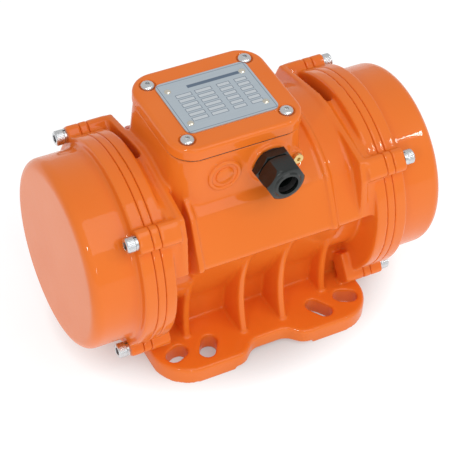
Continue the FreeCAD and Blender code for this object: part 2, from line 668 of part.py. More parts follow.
def end_cover():
    """A deep cup with a rounded outer edge, a wider rim and four lugs for its screws."""
    k = 1 - math.sqrt(0.5)
    step = BEARING_FACE + RIM_LENGTH
    inner = COVER_RADIUS - COVER_WALL
    inner_edge = COVER_EDGE - COVER_WALL
    bottom = COVER_FACE - COVER_WALL
    profile = [(BEARING_FACE, inner), (BEARING_FACE, FLANGE_RADIUS), (step - RIM_EDGE, FLANGE_RADIUS),
               ((step - RIM_EDGE * k, FLANGE_RADIUS - RIM_EDGE * k), (step, FLANGE_RADIUS - RIM_EDGE)),
               (step, COVER_RADIUS + RIM_FILLET),
               ((step + RIM_FILLET * k, COVER_RADIUS + RIM_FILLET * k), (step + RIM_FILLET, COVER_RADIUS)),
               (COVER_FACE - COVER_EDGE, COVER_RADIUS),
               ((COVER_FACE - COVER_EDGE * k, COVER_RADIUS - COVER_EDGE * k),
                (COVER_FACE, COVER_RADIUS - COVER_EDGE)),
               (COVER_FACE, 0), (bottom, 0), (bottom, inner - inner_edge),
               ((bottom - inner_edge * k, inner - inner_edge * k), (bottom - inner_edge, inner))]
    cup = joined([turned(profile)] + trimmed_lugs())
    return cup.cut(screw_holes(M6["shank"] + HOLE_GAP, BEARING_FACE, BEARING_FACE + RIM_LENGTH))


def trimmed_lugs():
    """The cover's lugs, cut away where they would reach into the cup."""
    inside = rod_x(COVER_RADIUS - 1.0, BEARING_FACE - 1, BEARING_FACE + RIM_LENGTH + 1)
    return [lug.cut(inside) for lug in lugs(BEARING_FACE, BEARING_FACE + RIM_LENGTH)]


def screw_seat():
    return BEARING_FACE + RIM_LENGTH + WASHER_THICK


def cover_screws():
    return [socket_screw(M6, COVER_SCREW_LENGTH, cross(screw_seat(), p), V(-1, 0, 0)) for p in lug_points()]


def cover_washers():
    """Split spring washers under the cover screws."""
    washers = []
    for y, z in lug_points():
        start, height = screw_seat() - WASHER_THICK, SHAFT_HEIGHT + z
        ring = rod_x(WASHER_RADIUS, start, start + WASHER_THICK, y, height)
        ring = ring.cut(rod_x(M6["shank"] + THREAD_GAP, start, start + WASHER_THICK, y, height))
        split = block(start, start + WASHER_THICK, y - 0.5, y + 0.5, height, height + WASHER_RADIUS)
        washers.append(ring.cut(split))
    return washers


def retainer_points():
    """Where the bearing retainer's screws go, as (y, z)."""
    points = []
    for i in range(RETAINER_SCREWS):
        y, z = polar(RETAINER_CIRCLE, 60 + 360 * i / RETAINER_SCREWS)
        points.append((y, SHAFT_HEIGHT + z))
    return points


def bearing_retainer():
    """The plate that holds the bearing's outer race in its housing."""
    plate = rod_x(RETAINER_RADIUS, BEARING_FACE, BEARING_FACE + RETAINER_THICK)
    holes = [rod_x(RETAINER_HOLE, BEARING_FACE, BEARING_FACE + RETAINER_THICK)]
    holes += [rod_x(M4["shank"] + HOLE_GAP, BEARING_FACE, BEARING_FACE + RETAINER_THICK, y, z)
              for y, z in retainer_points()]
    return plate.cut(holes)


def retainer_screws():
    seat = BEARING_FACE + RETAINER_THICK
    return [socket_screw(M4, RETAINER_SCREW_LENGTH, V(seat, y, z), V(-1, 0, 0)) for y, z in retainer_points()]


# ---- ball bearing ---------------------------------------------------------------------------
def groove():
    """The ring of space that the balls run in."""
    ring = Part.makeTorus(PITCH_RADIUS, BALL_RADIUS + RACE_GAP)
    middle = V(BEARING_FACE - BEARING_WIDTH / 2, 0, SHAFT_HEIGHT)
    ring.Placement = FreeCAD.Placement(middle, FreeCAD.Rotation(V(0, 0, 1), V(1, 0, 0)))
    return ring


def race(inner, outer):
    ring = turned([(BEARING_BACK, inner), (BEARING_FACE, inner), (BEARING_FACE, outer), (BEARING_BACK, outer)])
    return ring.cut(groove())


def ball_centres():
    x = BEARING_FACE - BEARING_WIDTH / 2
    return [cross(x, polar(PITCH_RADIUS, 360 * i / BALL_COUNT)) for i in range(BALL_COUNT)]


def bearing_balls():
    return [Part.makeSphere(BALL_RADIUS, centre) for centre in ball_centres()]


def bearing_cage():
    middle = BEARING_FACE - BEARING_WIDTH / 2
    half = CAGE_WIDTH / 2
    ring = turned([(middle - half, CAGE_INNER), (middle + half, CAGE_INNER),
                   (middle + half, CAGE_OUTER), (middle - half, CAGE_OUTER)])
    return ring.cut([Part.makeSphere(BALL_RADIUS + POCKET_GAP, centre) for centre in ball_centres()])


# ---- stator and rotor -----------------------------------------------------------------------
def around_shaft(shape, count):
    copies = []
    for i in range(count):
        copy = shape.copy()
        copy.rotate(V(0, 0, SHAFT_HEIGHT), V(1, 0, 0), 360 * i / count)
        copies.append(copy)
    return copies


def stator_slot(length, gap):
    """One winding slot at the crown: a bar with parallel sides."""
    low = STATOR_INNER + STATOR_TOOTH + gap
    half = STATOR_SLOT_WIDTH / 2 - gap
    top = low + STATOR_SLOT_DEPTH - 2 * gap
    return section([(-half, low), (half, low), (half, top), (-half, top)], -length / 2, length / 2)


def stator_core():
    ring = rod_x(BORE_RADIUS, -CORE_LENGTH / 2, CORE_LENGTH / 2)
    ring = ring.cut(rod_x(STATOR_INNER, -CORE_LENGTH / 2, CORE_LENGTH / 2))
    return ring.cut(around_shaft(stator_slot(CORE_LENGTH, 0), SLOT_COUNT))


def stator_winding():
    """Copper in the slots, and the rounded end turns that join it at both ends."""
    inner = STATOR_INNER + STATOR_TOOTH
    outer = inner + STATOR_SLOT_DEPTH
    start = CORE_LENGTH / 2
    end = start + WINDING_OVERHANG
    r = WINDING_ROUND
    k = r * (1 - math.sqrt(0.5))
    turns = turned([(start, inner), (start, outer), (end - r, outer), ((end - k, outer - k), (end, outer - r)),
                    (end, inner + r), ((end - k, inner + k), (end - r, inner))])
    bars = around_shaft(stator_slot(CORE_LENGTH, 0.1), SLOT_COUNT)
    return joined([turns, mirrored(turns)] + bars + winding_leads())


def winding_leads():
    """Three formed leads from the left end turns, up through the floor to the front row of studs."""
    leads = []
    low = SHAFT_HEIGHT + STATOR_INNER + STATOR_TOOTH + STATOR_SLOT_DEPTH - 3.0
    high = BOX_FLOOR + BLOCK_HEIGHT + LEAD_RADIUS + 0.6
    for i, (x, y) in enumerate(stud_points()[:STUD_COUNT]):
        hole = V(BOX_X + LEAD_HOLE_X, (i - 1) * LEAD_SPACING, 0)
        front = y - STUD_NUT_FLATS
        points = [V(hole.x, hole.y, low), V(hole.x, hole.y, BOX_FLOOR), V(hole.x + LEAD_BEND, front, high + 2 + i),
                  V(x - LEAD_BEND, front, high + 2 + i), V(x, y - STUD_RADIUS - LEAD_RADIUS, high)]
        curve = Part.BSplineCurve()
        curve.interpolate(points)
        end = Part.Wire(Part.Circle(points[0], V(0, 0, 1), LEAD_RADIUS).toShape())
        leads.append(Part.Wire(curve.toShape()).makePipeShell([end], True, True))
    return leads


def rotor_core():
    core = rod_x(ROTOR_RADIUS, -CORE_LENGTH / 2, CORE_LENGTH / 2)
    core = core.cut(rod_x(CORE_SEAT, -CORE_LENGTH / 2, CORE_LENGTH / 2))
    return core.cut(rotor_bars())


def rotor_bars():
    y, z = polar(BAR_CIRCLE, 0)
    bar = rod_x(BAR_RADIUS, -CORE_LENGTH / 2, CORE_LENGTH / 2, y, SHAFT_HEIGHT + z)
    return around_shaft(bar, ROTOR_BARS)


def rotor_cage():
    """The cast squirrel cage: bars through the core and a ring at each end."""
    start = CORE_LENGTH / 2
    ring = turned([(start, END_RING_INNER), (start + END_RING_THICK, END_RING_INNER),
                   (start + END_RING_THICK, ROTOR_RADIUS - 1.0), (start, ROTOR_RADIUS - 0.2)])
    return joined([ring, mirrored(ring)] + rotor_bars())


def shaft():
    """The stepped shaft, with keyways for the fixed weights and grooves for the circlips."""
    half = CORE_LENGTH / 2 + 1.0
    clip = CIRCLIP_START
    clip_seat = SHAFT_END_RADIUS - CIRCLIP_DEPTH
    right = [(half, CORE_SEAT), (half, SHAFT_SHOULDER), (BEARING_BACK, SHAFT_SHOULDER), (BEARING_BACK, JOURNAL),
             (BEARING_FACE, JOURNAL), (BEARING_FACE, SHAFT_END_RADIUS), (clip, SHAFT_END_RADIUS),
             (clip, clip_seat), (clip + CIRCLIP_THICK, clip_seat),
             (clip + CIRCLIP_THICK, SHAFT_END_RADIUS), (SHAFT_REACH - 0.8, SHAFT_END_RADIUS),
             (SHAFT_REACH, SHAFT_END_RADIUS - 0.8)]
    left = [(-x, r) for x, r in reversed(right)]
    whole = turned(left + right + [(SHAFT_REACH, 0), (-SHAFT_REACH, 0)])
    return whole.cut([at_end(weight_key(), end) for end in ENDS.values()])


# ---- eccentric weights ----------------------------------------------------------------------
def weight_outline():
    """A hub with a sector hanging below it."""
    start = polar(WEIGHT_RADIUS, 180 - WEIGHT_ANGLE)
    end = polar(WEIGHT_RADIUS, 180 + WEIGHT_ANGLE)
    return [(-WEIGHT_HUB, 0), ((0, WEIGHT_HUB), (WEIGHT_HUB, 0)), start, ((0, -WEIGHT_RADIUS), end)]


def weight_key():
    """The key on top of the shaft that drives the fixed weight."""
    start = WEIGHT_START + (WEIGHT_THICK - KEY_LENGTH) / 2
    low = SHAFT_HEIGHT + SHAFT_END_RADIUS - KEY_HEIGHT / 2
    return block(start, start + KEY_LENGTH, -KEY_WIDTH / 2, KEY_WIDTH / 2, low, low + KEY_HEIGHT)


def fixed_weight():
    """The keyed weight, whose hub rests against the bearing's inner race."""
    end = WEIGHT_START + WEIGHT_THICK
    plate = section(weight_outline(), WEIGHT_START, end)
    hub = rod_x(WEIGHT_HUB - 1.5, BEARING_FACE, WEIGHT_START)
    keyway = block(WEIGHT_START, end, -KEY_WIDTH / 2, KEY_WIDTH / 2, SHAFT_HEIGHT,
                   SHAFT_HEIGHT + SHAFT_END_RADIUS + KEY_HEIGHT / 2)
    return joined([plate, hub]).cut([rod_x(SHAFT_END_RADIUS, BEARING_FACE, end), keyway])


def adjustable_weight():
    """The outer weight: it turns on the shaft when its clamp screw is loose."""
    end = ADJUST_START + WEIGHT_THICK
    plate = section(weight_outline(), ADJUST_START, end)
    ears = block(ADJUST_START, end, -CLAMP_HALF, CLAMP_HALF, SHAFT_HEIGHT, SHAFT_HEIGHT + CLAMP_TOP)
    ears = ears.makeFillet(3.0, edges_along(ears, V(1, 0, 0), lambda m: m.z > SHAFT_HEIGHT + 1))
    bore = rod_x(SHAFT_END_RADIUS + ADJUST_FIT, ADJUST_START, end)
    slit = block(ADJUST_START, end, -CLAMP_SLIT / 2, CLAMP_SLIT / 2, SHAFT_HEIGHT, SHAFT_HEIGHT + CLAMP_TOP)
    hole = rod_y(M6["shank"] + THREAD_GAP, -CLAMP_HALF, CLAMP_HALF, clamp_x(), SHAFT_HEIGHT + CLAMP_SCREW_Z)
    return joined([plate, ears]).cut([bore, slit, hole])


def clamp_x():
    return ADJUST_START + WEIGHT_THICK / 2


def clamp_screw():
    seat = V(clamp_x(), -CLAMP_HALF, SHAFT_HEIGHT + CLAMP_SCREW_Z)
    return socket_screw(M6, 2 * CLAMP_HALF - 1.0, seat, V(0, 1, 0))


def circlip():
    """An open ring in the shaft's groove that keeps the adjustable weight on."""
    end = CIRCLIP_START + CIRCLIP_THICK
    ring = rod_x(CIRCLIP_OUTER, CIRCLIP_START, end).cut(rod_x(SHAFT_END_RADIUS - CIRCLIP_DEPTH, CIRCLIP_START, end))
    half = math.tan(math.radians(CIRCLIP_MOUTH / 2)) * CIRCLIP_OUTER
    mouth = section([(0, 0), (half, CIRCLIP_OUTER), (-half, CIRCLIP_OUTER)], CIRCLIP_START, end)
    return ring.cut(mouth)


# ---- terminal box's contents and lid ----------------------------------------------------------
def lid():
    """The terminal box's lid: rounded top edge, hollow underside and countersunk screw seats."""
    body = Part.Face(rounded(BOX_HALF_X, BOX_HALF_Y, BOX_CORNER + BOX_LIP, LID_BASE, BOX_X))
    body = body.extrude(V(0, 0, LID_THICK))
    body = body.makeFillet(LID_EDGE, top_edges(body, LID_TOP))
    hollow = Part.Face(rounded(BOX_HALF_X - BOX_LIP - LID_SKIRT, BOX_HALF_Y - BOX_LIP - LID_SKIRT,
                               BOX_CORNER - LID_SKIRT, LID_BASE, BOX_X)).extrude(V(0, 0, LID_HOLLOW))
    pillars = [rod_z(LID_BOSS_RADIUS, LID_BASE, LID_BASE + LID_HOLLOW, x, y) for x, y in lid_screw_points()]
    cutters = [hollow.cut(pillars)]
    for x, y in lid_screw_points():
        cutters.append(rod_z(M5["shank"] + HOLE_GAP, LID_BASE, LID_TOP, x, y))
        cutters.append(rod_z(COUNTERBORE_RADIUS, LID_TOP - COUNTERBORE_DEPTH, LID_TOP, x, y))
    cutters += [rod_z(RIVET_SHANK, LID_TOP - RIVET_LENGTH, LID_TOP, x, y) for x, y in rivet_points()]
    return body.cut(cutters)


def gasket():
    """The flat gasket between the box's walls and the lid."""
    outer = Part.Face(rounded(BOX_HALF_X - BOX_LIP, BOX_HALF_Y - BOX_LIP, BOX_CORNER, BOX_TOP, BOX_X))
    sheet = outer.extrude(V(0, 0, GASKET_THICK))
    inner = rounded(BOX_HALF_X - BOX_LIP - BOX_WALL, BOX_HALF_Y - BOX_LIP - BOX_WALL, BOX_CORNER - BOX_WALL,
                    BOX_TOP, BOX_X)
    bosses = [rod_z(LID_BOSS_RADIUS, BOX_TOP, LID_BASE, x, y) for x, y in lid_screw_points()]
    window = Part.Face(inner).extrude(V(0, 0, GASKET_THICK)).cut(bosses)
    holes = [rod_z(M5["shank"] + HOLE_GAP, BOX_TOP, LID_BASE, x, y) for x, y in lid_screw_points()]
    return sheet.cut([window] + holes)


def lid_screws():
    seat = LID_TOP - COUNTERBORE_DEPTH
    return [socket_screw(M5, LID_SCREW_LENGTH, V(x, y, seat), V(0, 0, -1)) for x, y in lid_screw_points()]


def rivet_points():
    return [(BOX_X + sx * RIVET_X, sy * RIVET_Y) for sx in (-1, 1) for sy in (-1, 1)]


def nameplate():
    plate = Part.Face(rounded(PLATE_HALF_X, PLATE_HALF_Y, PLATE_CORNER, LID_TOP, BOX_X))
    plate = plate.extrude(V(0, 0, PLATE_THICK))
    return plate.cut([rod_z(RIVET_SHANK, LID_TOP, LID_TOP + PLATE_THICK, x, y) for x, y in rivet_points()])


def nameplate_rivets():
    """Drive rivets: a shank in the lid and a low dome on the plate."""
    rivets = []
    radius = (RIVET_HEAD ** 2 + RIVET_RISE ** 2) / (2 * RIVET_RISE)
    face = LID_TOP + PLATE_THICK
    for x, y in rivet_points():
        ball = Part.makeSphere(radius, V(x, y, face + RIVET_RISE - radius))
        dome = ball.common(rod_z(radius, face, face + RIVET_RISE, x, y))
        rivets.append(dome.fuse(rod_z(RIVET_SHANK, LID_TOP - RIVET_LENGTH, face, x, y)).removeSplitter())
    return rivets


def terminal_block():
    """The insulating block that carries the winding's six connection studs."""
    half_x, half_y = BLOCK_LENGTH / 2, BLOCK_WIDTH / 2
    body = block(BLOCK_X - half_x, BLOCK_X + half_x, BLOCK_Y - half_y, BLOCK_Y + half_y, BOX_FLOOR,
                 BOX_FLOOR + BLOCK_HEIGHT)
    ledge = BLOCK_HEIGHT - BLOCK_STEP
    span = STUD_SPACING * (STUD_COUNT - 1) / 2 + STUD_SPACING / 2 - 1.0
    cutters = []
    for side in (-1, 1):
        y = BLOCK_Y + side * STUD_ROW
        cutters.append(block(BLOCK_X - span, BLOCK_X + span, y - 4.6, y + 4.6, BOX_FLOOR + ledge,
                             BOX_FLOOR + BLOCK_HEIGHT))
    cutters += [rod_z(STUD_RADIUS, BOX_FLOOR, BOX_FLOOR + BLOCK_HEIGHT, x, y) for x, y in stud_points()]
    cutters += [rod_z(M4["shank"] + HOLE_GAP, BOX_FLOOR, BOX_FLOOR + BLOCK_HEIGHT, x, y)
                for x, y in block_screw_points()]
    return body.cut(cutters)


def block_screw_points():
    return [(BLOCK_X + side * BLOCK_SCREW_X, BLOCK_Y) for side in (-1, 1)]


def stud_points():
    points = []
    for row in (-1, 1):
        for i in range(STUD_COUNT):
            points.append((BLOCK_X + (i - (STUD_COUNT - 1) / 2) * STUD_SPACING, BLOCK_Y + row * STUD_ROW))
    return points


def terminal_studs():
    """Brass studs, each with its nut."""
    ledge = BOX_FLOOR + BLOCK_HEIGHT - BLOCK_STEP
    studs = []
    for x, y in stud_points():
        nut = hexagon(STUD_NUT_FLATS, STUD_NUT_HEIGHT, V(x, y, ledge), V(0, 0, 1))
        studs.append(joined([rod_z(STUD_RADIUS, BOX_FLOOR + 1.0, ledge + STUD_RISE, x, y), nut]))
    return studs


def block_screws():
    top = BOX_FLOOR + BLOCK_HEIGHT
    length = BLOCK_HEIGHT + FLOOR_THREAD - 1.0
    return [socket_screw(M4, length, V(x, y, top), V(0, 0, -1)) for x, y in block_screw_points()]


def inner_earth_screw():
    x, y = BOX_X + INNER_EARTH[0], INNER_EARTH[1]
    return socket_screw(M4, FLOOR_THREAD - 1.0, V(x, y, BOX_FLOOR), V(0, 0, -1))


def outer_earth_screw():
    seat = V(EARTH_X, wall_y(EARTH_Z) - EARTH_PAD_RISE, EARTH_Z)
    return socket_screw(M4, EARTH_SCREW_LENGTH, seat, V(0, 1, 0))


# ---- cable gland ----------------------------------------------------------------------------
def gland_seat():
    return wall_y(ENTRY_Z) - ENTRY_BOSS_RISE


def gland_ring():
    """The sealing ring between the gland's hexagon and the boss."""
    seat = gland_seat()
    ring = rod_y(GLAND_FLATS / 2 - 0.5, seat - GLAND_RING, seat, ENTRY_X, ENTRY_Z)
    return ring.cut(rod_y(GLAND_THREAD + THREAD_GAP, seat - GLAND_RING, seat, ENTRY_X, ENTRY_Z))


def gland_body():
    """The gland's hexagon, its thread into the wall and the neck that carries the nut."""
    seat = gland_seat() - GLAND_RING
    base = hexagon(GLAND_FLATS, GLAND_BASE, V(ENTRY_X, seat, ENTRY_Z), V(0, -1, 0))
    base = base.common(chamfer_cone(GLAND_FLATS, GLAND_BASE, seat))
    neck = rod_y(GLAND_NECK_RADIUS, seat - GLAND_BASE - GLAND_NECK, seat - GLAND_BASE, ENTRY_X, ENTRY_Z)
    stub = rod_y(GLAND_THREAD, seat, seat + GLAND_RING + GLAND_STUB, ENTRY_X, ENTRY_Z)
    bore = rod_y(GLAND_BORE, seat - GLAND_BASE - GLAND_NECK, seat + GLAND_RING + GLAND_STUB, ENTRY_X, ENTRY_Z)
    return joined([base, neck, stub]).cut(bore)


def gland_turned(points):
    """A profile of (distance from the gland's hexagon seat, radius) turned about the gland's axis."""
    seat = gland_seat() - GLAND_RING
    face = outline(points, lambda p: V(ENTRY_X + p[1], seat - p[0], ENTRY_Z))
    return face.revolve(V(ENTRY_X, 0, ENTRY_Z), V(0, 1, 0), 360)


def chamfer_cone(flats, length, seat):
    """A turned envelope that takes the corners off a hexagon's outer end."""
    corner = flats / math.sqrt(3)
    return gland_turned([(0, 0), (0, corner), (length - 1.0, corner), (length, flats / 2), (length, 0)])


def gland_nut():
    """The dome nut: a hexagon that runs into a round dome with the cable's opening."""
    start = GLAND_BASE + 0.6
    end = start + NUT_LENGTH
    dome = end - NUT_DOME
    corner = NUT_FLATS / math.sqrt(3)
    k = math.sqrt(0.5)
    turn = (dome + (end - 1.0 - dome) * k, NUT_NOSE_RADIUS + (corner - NUT_NOSE_RADIUS) * k)
    envelope = gland_turned([(start, 0), (start, NUT_FLATS / 2), (start + 1.0, corner), (dome, corner),
                             (turn, (end - 1.0, NUT_NOSE_RADIUS)), (end, NUT_NOSE_RADIUS - 1.0), (end, 0)])
    seat = gland_seat() - GLAND_RING
    prism = hexagon(NUT_FLATS, NUT_LENGTH, V(ENTRY_X, seat - start, ENTRY_Z), V(0, -1, 0))
    hollow = gland_turned([(start, 0), (start, GLAND_NECK_RADIUS + THREAD_GAP),
                           (end - NUT_LIP - 2.0, GLAND_NECK_RADIUS + THREAD_GAP),
                           (end - NUT_LIP, GLAND_BORE + 0.6), (end, GLAND_BORE + 0.6), (end, 0)])
    return prism.common(envelope).cut(hollow)


def gland_insert():
    """The rubber sleeve that grips the cable, between the neck and the nut's dome."""
    start = GLAND_BASE + GLAND_NECK + INSERT_GAP
    end = GLAND_BASE + NUT_LENGTH - NUT_LIP - 2.0
    tip = end + INSERT_TIP
    outer = GLAND_NECK_RADIUS - 0.4
    return gland_turned([(start, INSERT_BORE), (start, outer), (end, outer),
                         (tip, INSERT_BORE + INSERT_LIP), (tip, INSERT_BORE)])


# ---- write the parts ------------------------------------------------------------------------
def end_pieces(name, end):
    """The nodes of one end of the motor."""
    single = {"bearing_flange": bearing_flange(), "end_cover": end_cover(), "cover_seal": cover_seal(),
              "bearing_retainer": bearing_retainer(), "bearing_outer_race": race(LAND_OUTER, RACE_OUTER),
              "bearing_inner_race": race(JOURNAL, LAND_INNER), "bearing_cage": bearing_cage(),
              "fixed_weight": fixed_weight(), "weight_key": weight_key(),
              "adjustable_weight": adjustable_weight(), "clamp_screw": clamp_screw(), "circlip": circlip()}
    groups = {"cover_screws": cover_screws(), "cover_washers": cover_washers(),
              "retainer_screws": retainer_screws(), "bearing_balls": bearing_balls()}
    nodes = {}
    for piece, shape in single.items():
        nodes[name + "_" + piece] = [at_end(shape, end)]
    for piece, shapes in groups.items():
        nodes[name + "_" + piece] = [at_end(shape, end) for shape in shapes]
    return nodes


def all_nodes():
    nodes = {"body_casting": [body_casting()], "stator_core": [stator_core()], "stator_winding": [stator_winding()],
             "rotor_core": [rotor_core()], "rotor_cage": [rotor_cage()], "shaft": [shaft()],
             "terminal_box_lid": [lid()], "terminal_box_gasket": [gasket()], "lid_screws": lid_screws(),
             "nameplate": [nameplate()], "nameplate_rivets": nameplate_rivets(),
             "terminal_block": [terminal_block()], "terminal_studs": terminal_studs(),
             "terminal_block_screws": block_screws(), "inner_earth_screw": [inner_earth_screw()],
             "outer_earth_screw": [outer_earth_screw()], "gland_sealing_ring": [gland_ring()],
             "cable_gland_body": [gland_body()], "cable_gland_nut": [gland_nut()],
             "cable_gland_insert": [gland_insert()]}
    for name, end in ENDS.items():
        nodes.update(end_pieces(name, end))
    return nodes


os.makedirs("parts", exist_ok=True)
for node, shapes in all_nodes().items():
    shape = shapes[0] if len(shapes) == 1 else Part.makeCompound(shapes)
    shape.exportStep("parts/" + node + ".step")
    print(node, len(shape.Solids), "solids", round(shape.Volume / 1000, 2), "cm3", shape.isValid())
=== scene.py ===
# %% [markdown]
# # A vibration motor in orange enamel
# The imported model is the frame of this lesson: every casting, screw and bearing is already in its
# true place and at its true size, in metres. What is left is how it looks. Cast and painted pieces
# need soft edges and a thick glossy coat, fasteners need knurls and sockets, and each hidden piece
# needs the finish that it has on the bench. The frame is loaded first and never moved.

# %% Load the frame
import json
import math
import bmesh
import bpy
import numpy as np
from mathutils import Matrix, Vector


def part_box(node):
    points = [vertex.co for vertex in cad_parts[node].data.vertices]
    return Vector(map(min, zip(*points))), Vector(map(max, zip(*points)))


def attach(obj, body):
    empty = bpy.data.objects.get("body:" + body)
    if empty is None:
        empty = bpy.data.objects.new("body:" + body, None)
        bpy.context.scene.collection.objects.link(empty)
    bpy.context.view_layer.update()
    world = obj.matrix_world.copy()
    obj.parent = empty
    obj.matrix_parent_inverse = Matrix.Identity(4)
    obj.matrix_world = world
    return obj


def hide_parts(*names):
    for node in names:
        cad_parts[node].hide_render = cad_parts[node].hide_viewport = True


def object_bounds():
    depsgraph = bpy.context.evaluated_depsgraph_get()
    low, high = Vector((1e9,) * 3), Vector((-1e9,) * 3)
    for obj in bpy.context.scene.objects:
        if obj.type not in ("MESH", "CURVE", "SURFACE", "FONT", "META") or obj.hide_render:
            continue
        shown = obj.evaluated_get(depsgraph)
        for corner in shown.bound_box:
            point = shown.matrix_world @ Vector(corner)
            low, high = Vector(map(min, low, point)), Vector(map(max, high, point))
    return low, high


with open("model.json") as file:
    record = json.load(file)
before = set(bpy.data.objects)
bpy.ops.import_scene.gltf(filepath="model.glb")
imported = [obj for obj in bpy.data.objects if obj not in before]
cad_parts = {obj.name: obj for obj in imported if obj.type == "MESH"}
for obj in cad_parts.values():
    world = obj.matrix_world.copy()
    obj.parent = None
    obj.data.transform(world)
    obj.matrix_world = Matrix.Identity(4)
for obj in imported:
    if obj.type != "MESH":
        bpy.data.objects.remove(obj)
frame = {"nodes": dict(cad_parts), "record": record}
nodes = frame["nodes"]
cad_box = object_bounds()
MM = 0.001
print(len(nodes), "nodes,", [round(side / MM, 1) for side in cad_box[1] - cad_box[0]], "mm")

# %% [markdown]
# ## Camera
# A product picture of a machine is taken from some distance, so that parallel edges stay nearly
# parallel. The camera stands more than a metre away with a long lens, to the left of the gland's
# side and well above it. Its place is built from three directions at right angles, because that
# also allows the small tilt of the horizon that a tripod leaves.

# %% Camera
AZIMUTH, ELEVATION, TILT = math.radians(-29.91), math.radians(43.88), 0.07
DISTANCE, LENS, SENSOR, FAR_END = 1.1741, 138.1, 36.0, 20.0     # metres, but lens and sensor in mm
LOOK_AT = Vector((-0.00304, -0.00109, 0.05844))


def camera_at(azimuth, elevation, tilt):
    """Columns right, up and back: back points from the target to the camera, right lies level,
    up is their cross product, and the tilt turns right and up about back."""
    back = Vector((math.sin(azimuth) * math.cos(elevation), -math.cos(azimuth) * math.cos(elevation),
                   math.sin(elevation)))
    right = Vector((math.cos(azimuth), math.sin(azimuth), 0.0))
    up = back.cross(right)
    turned_right = right * math.cos(tilt) + up * math.sin(tilt)
    turned_up = up * math.cos(tilt) - right * math.sin(tilt)
    place = LOOK_AT + back * DISTANCE
    return Matrix([[turned_right[i], turned_up[i], back[i], place[i]] for i in range(3)] + [[0, 0, 0, 1]])


camera = bpy.data.objects.new("camera", bpy.data.cameras.new("camera"))
camera.data.lens, camera.data.sensor_width = LENS, SENSOR
camera.data.clip_end = FAR_END
bpy.context.scene.collection.objects.link(camera)
camera.matrix_world = camera_at(AZIMUTH, ELEVATION, TILT)
bpy.context.scene.camera = camera
print("camera at", [round(x, 3) for x in camera.matrix_world.translation])

# %% [markdown]
# ## Light
# Glossy enamel shows its light as much as its colour. Most of the light comes from a white room and
# one large panel above and in front, which keep the orange even and its shadows soft. Three small
# panels, one from each side and one low in front, are there for what they leave in the coat: the
# white streak along the rounded cover, and a spark in each fillet. A pale floor, which is laid
# last, fills the shadows from below.

# %% Studio
PANELS = {"front_sky": ((0.10, -0.75, 1.15), 0.9, 4.0),      # place, side in metres, watts
          "left_window": ((-0.85, -0.75, 0.8), 0.11, 1.3),
          "right_window": ((0.70, -0.60, 1.0), 0.09, 0.9),
          "low_window": ((-0.25, -1.15, 0.45), 0.10, 0.7)}
WALLS = (1.0, 1.0, 1.0, 1.0)
WALL_LIGHT = 0.66


def soft_panel(name, place, target, size, watts):
    """A square lamp at place that faces target."""
    lamp = bpy.data.lights.new(name, "AREA")
    lamp.shape, lamp.size, lamp.energy = "SQUARE", size, watts
    panel = bpy.data.objects.new(name, lamp)
    bpy.context.scene.collection.objects.link(panel)
    panel.location = place
    panel.rotation_euler = (target - Vector(place)).to_track_quat("-Z", "Y").to_euler()


middle = (cad_box[0] + cad_box[1]) / 2
for name, (place, size, watts) in PANELS.items():
    soft_panel(name, place, middle, size, watts)
world = bpy.data.worlds.new("studio")
bpy.context.scene.world = world
world.use_nodes = True
walls = world.node_tree.nodes["Background"]
walls.inputs["Color"].default_value = WALLS
walls.inputs["Strength"].default_value = WALL_LIGHT
bpy.context.scene.view_settings.view_transform = "Standard"
print(len(PANELS), "soft panels and a white room")

# %% [markdown]
# ## A way to write finishes
# A finish is a tree of nodes, and a tree is hard to read as a list of links. So one small class
# stands for a number that changes over the surface: adding or multiplying two of them adds a Math
# node. Everything else, such as a noise or a bump, comes from one method.

# %% Signal and Finish
class Signal:
    """A socket that the signs + - * / and abs() work on."""

    def __init__(self, finish, socket):
        self.finish, self.socket = finish, socket

    def maths(self, operation, *values, clamp=False):
        settings = {"operation": operation, "use_clamp": clamp}
        return self.finish.node("ShaderNodeMath", settings, dict(enumerate(values)))

    def __add__(self, other):
        return self.maths("ADD", self, other)

    def __sub__(self, other):
        return self.maths("SUBTRACT", self, other)

    def __rsub__(self, other):
        return self.maths("SUBTRACT", other, self)

    def __mul__(self, other):
        return self.maths("MULTIPLY", self, other)

    def __truediv__(self, other):
        return self.maths("DIVIDE", self, other)

    def __abs__(self):
        return self.maths("ABSOLUTE", self)

    def wrapped(self):
        """What is left of it past the last whole number."""
        return self.maths("FRACT", self)

    def step(self, low, high):
        """0 below low, 1 above high and straight between them."""
        return self.maths("DIVIDE", self - low, high - low, clamp=True)

    __radd__, __rmul__ = __add__, __mul__


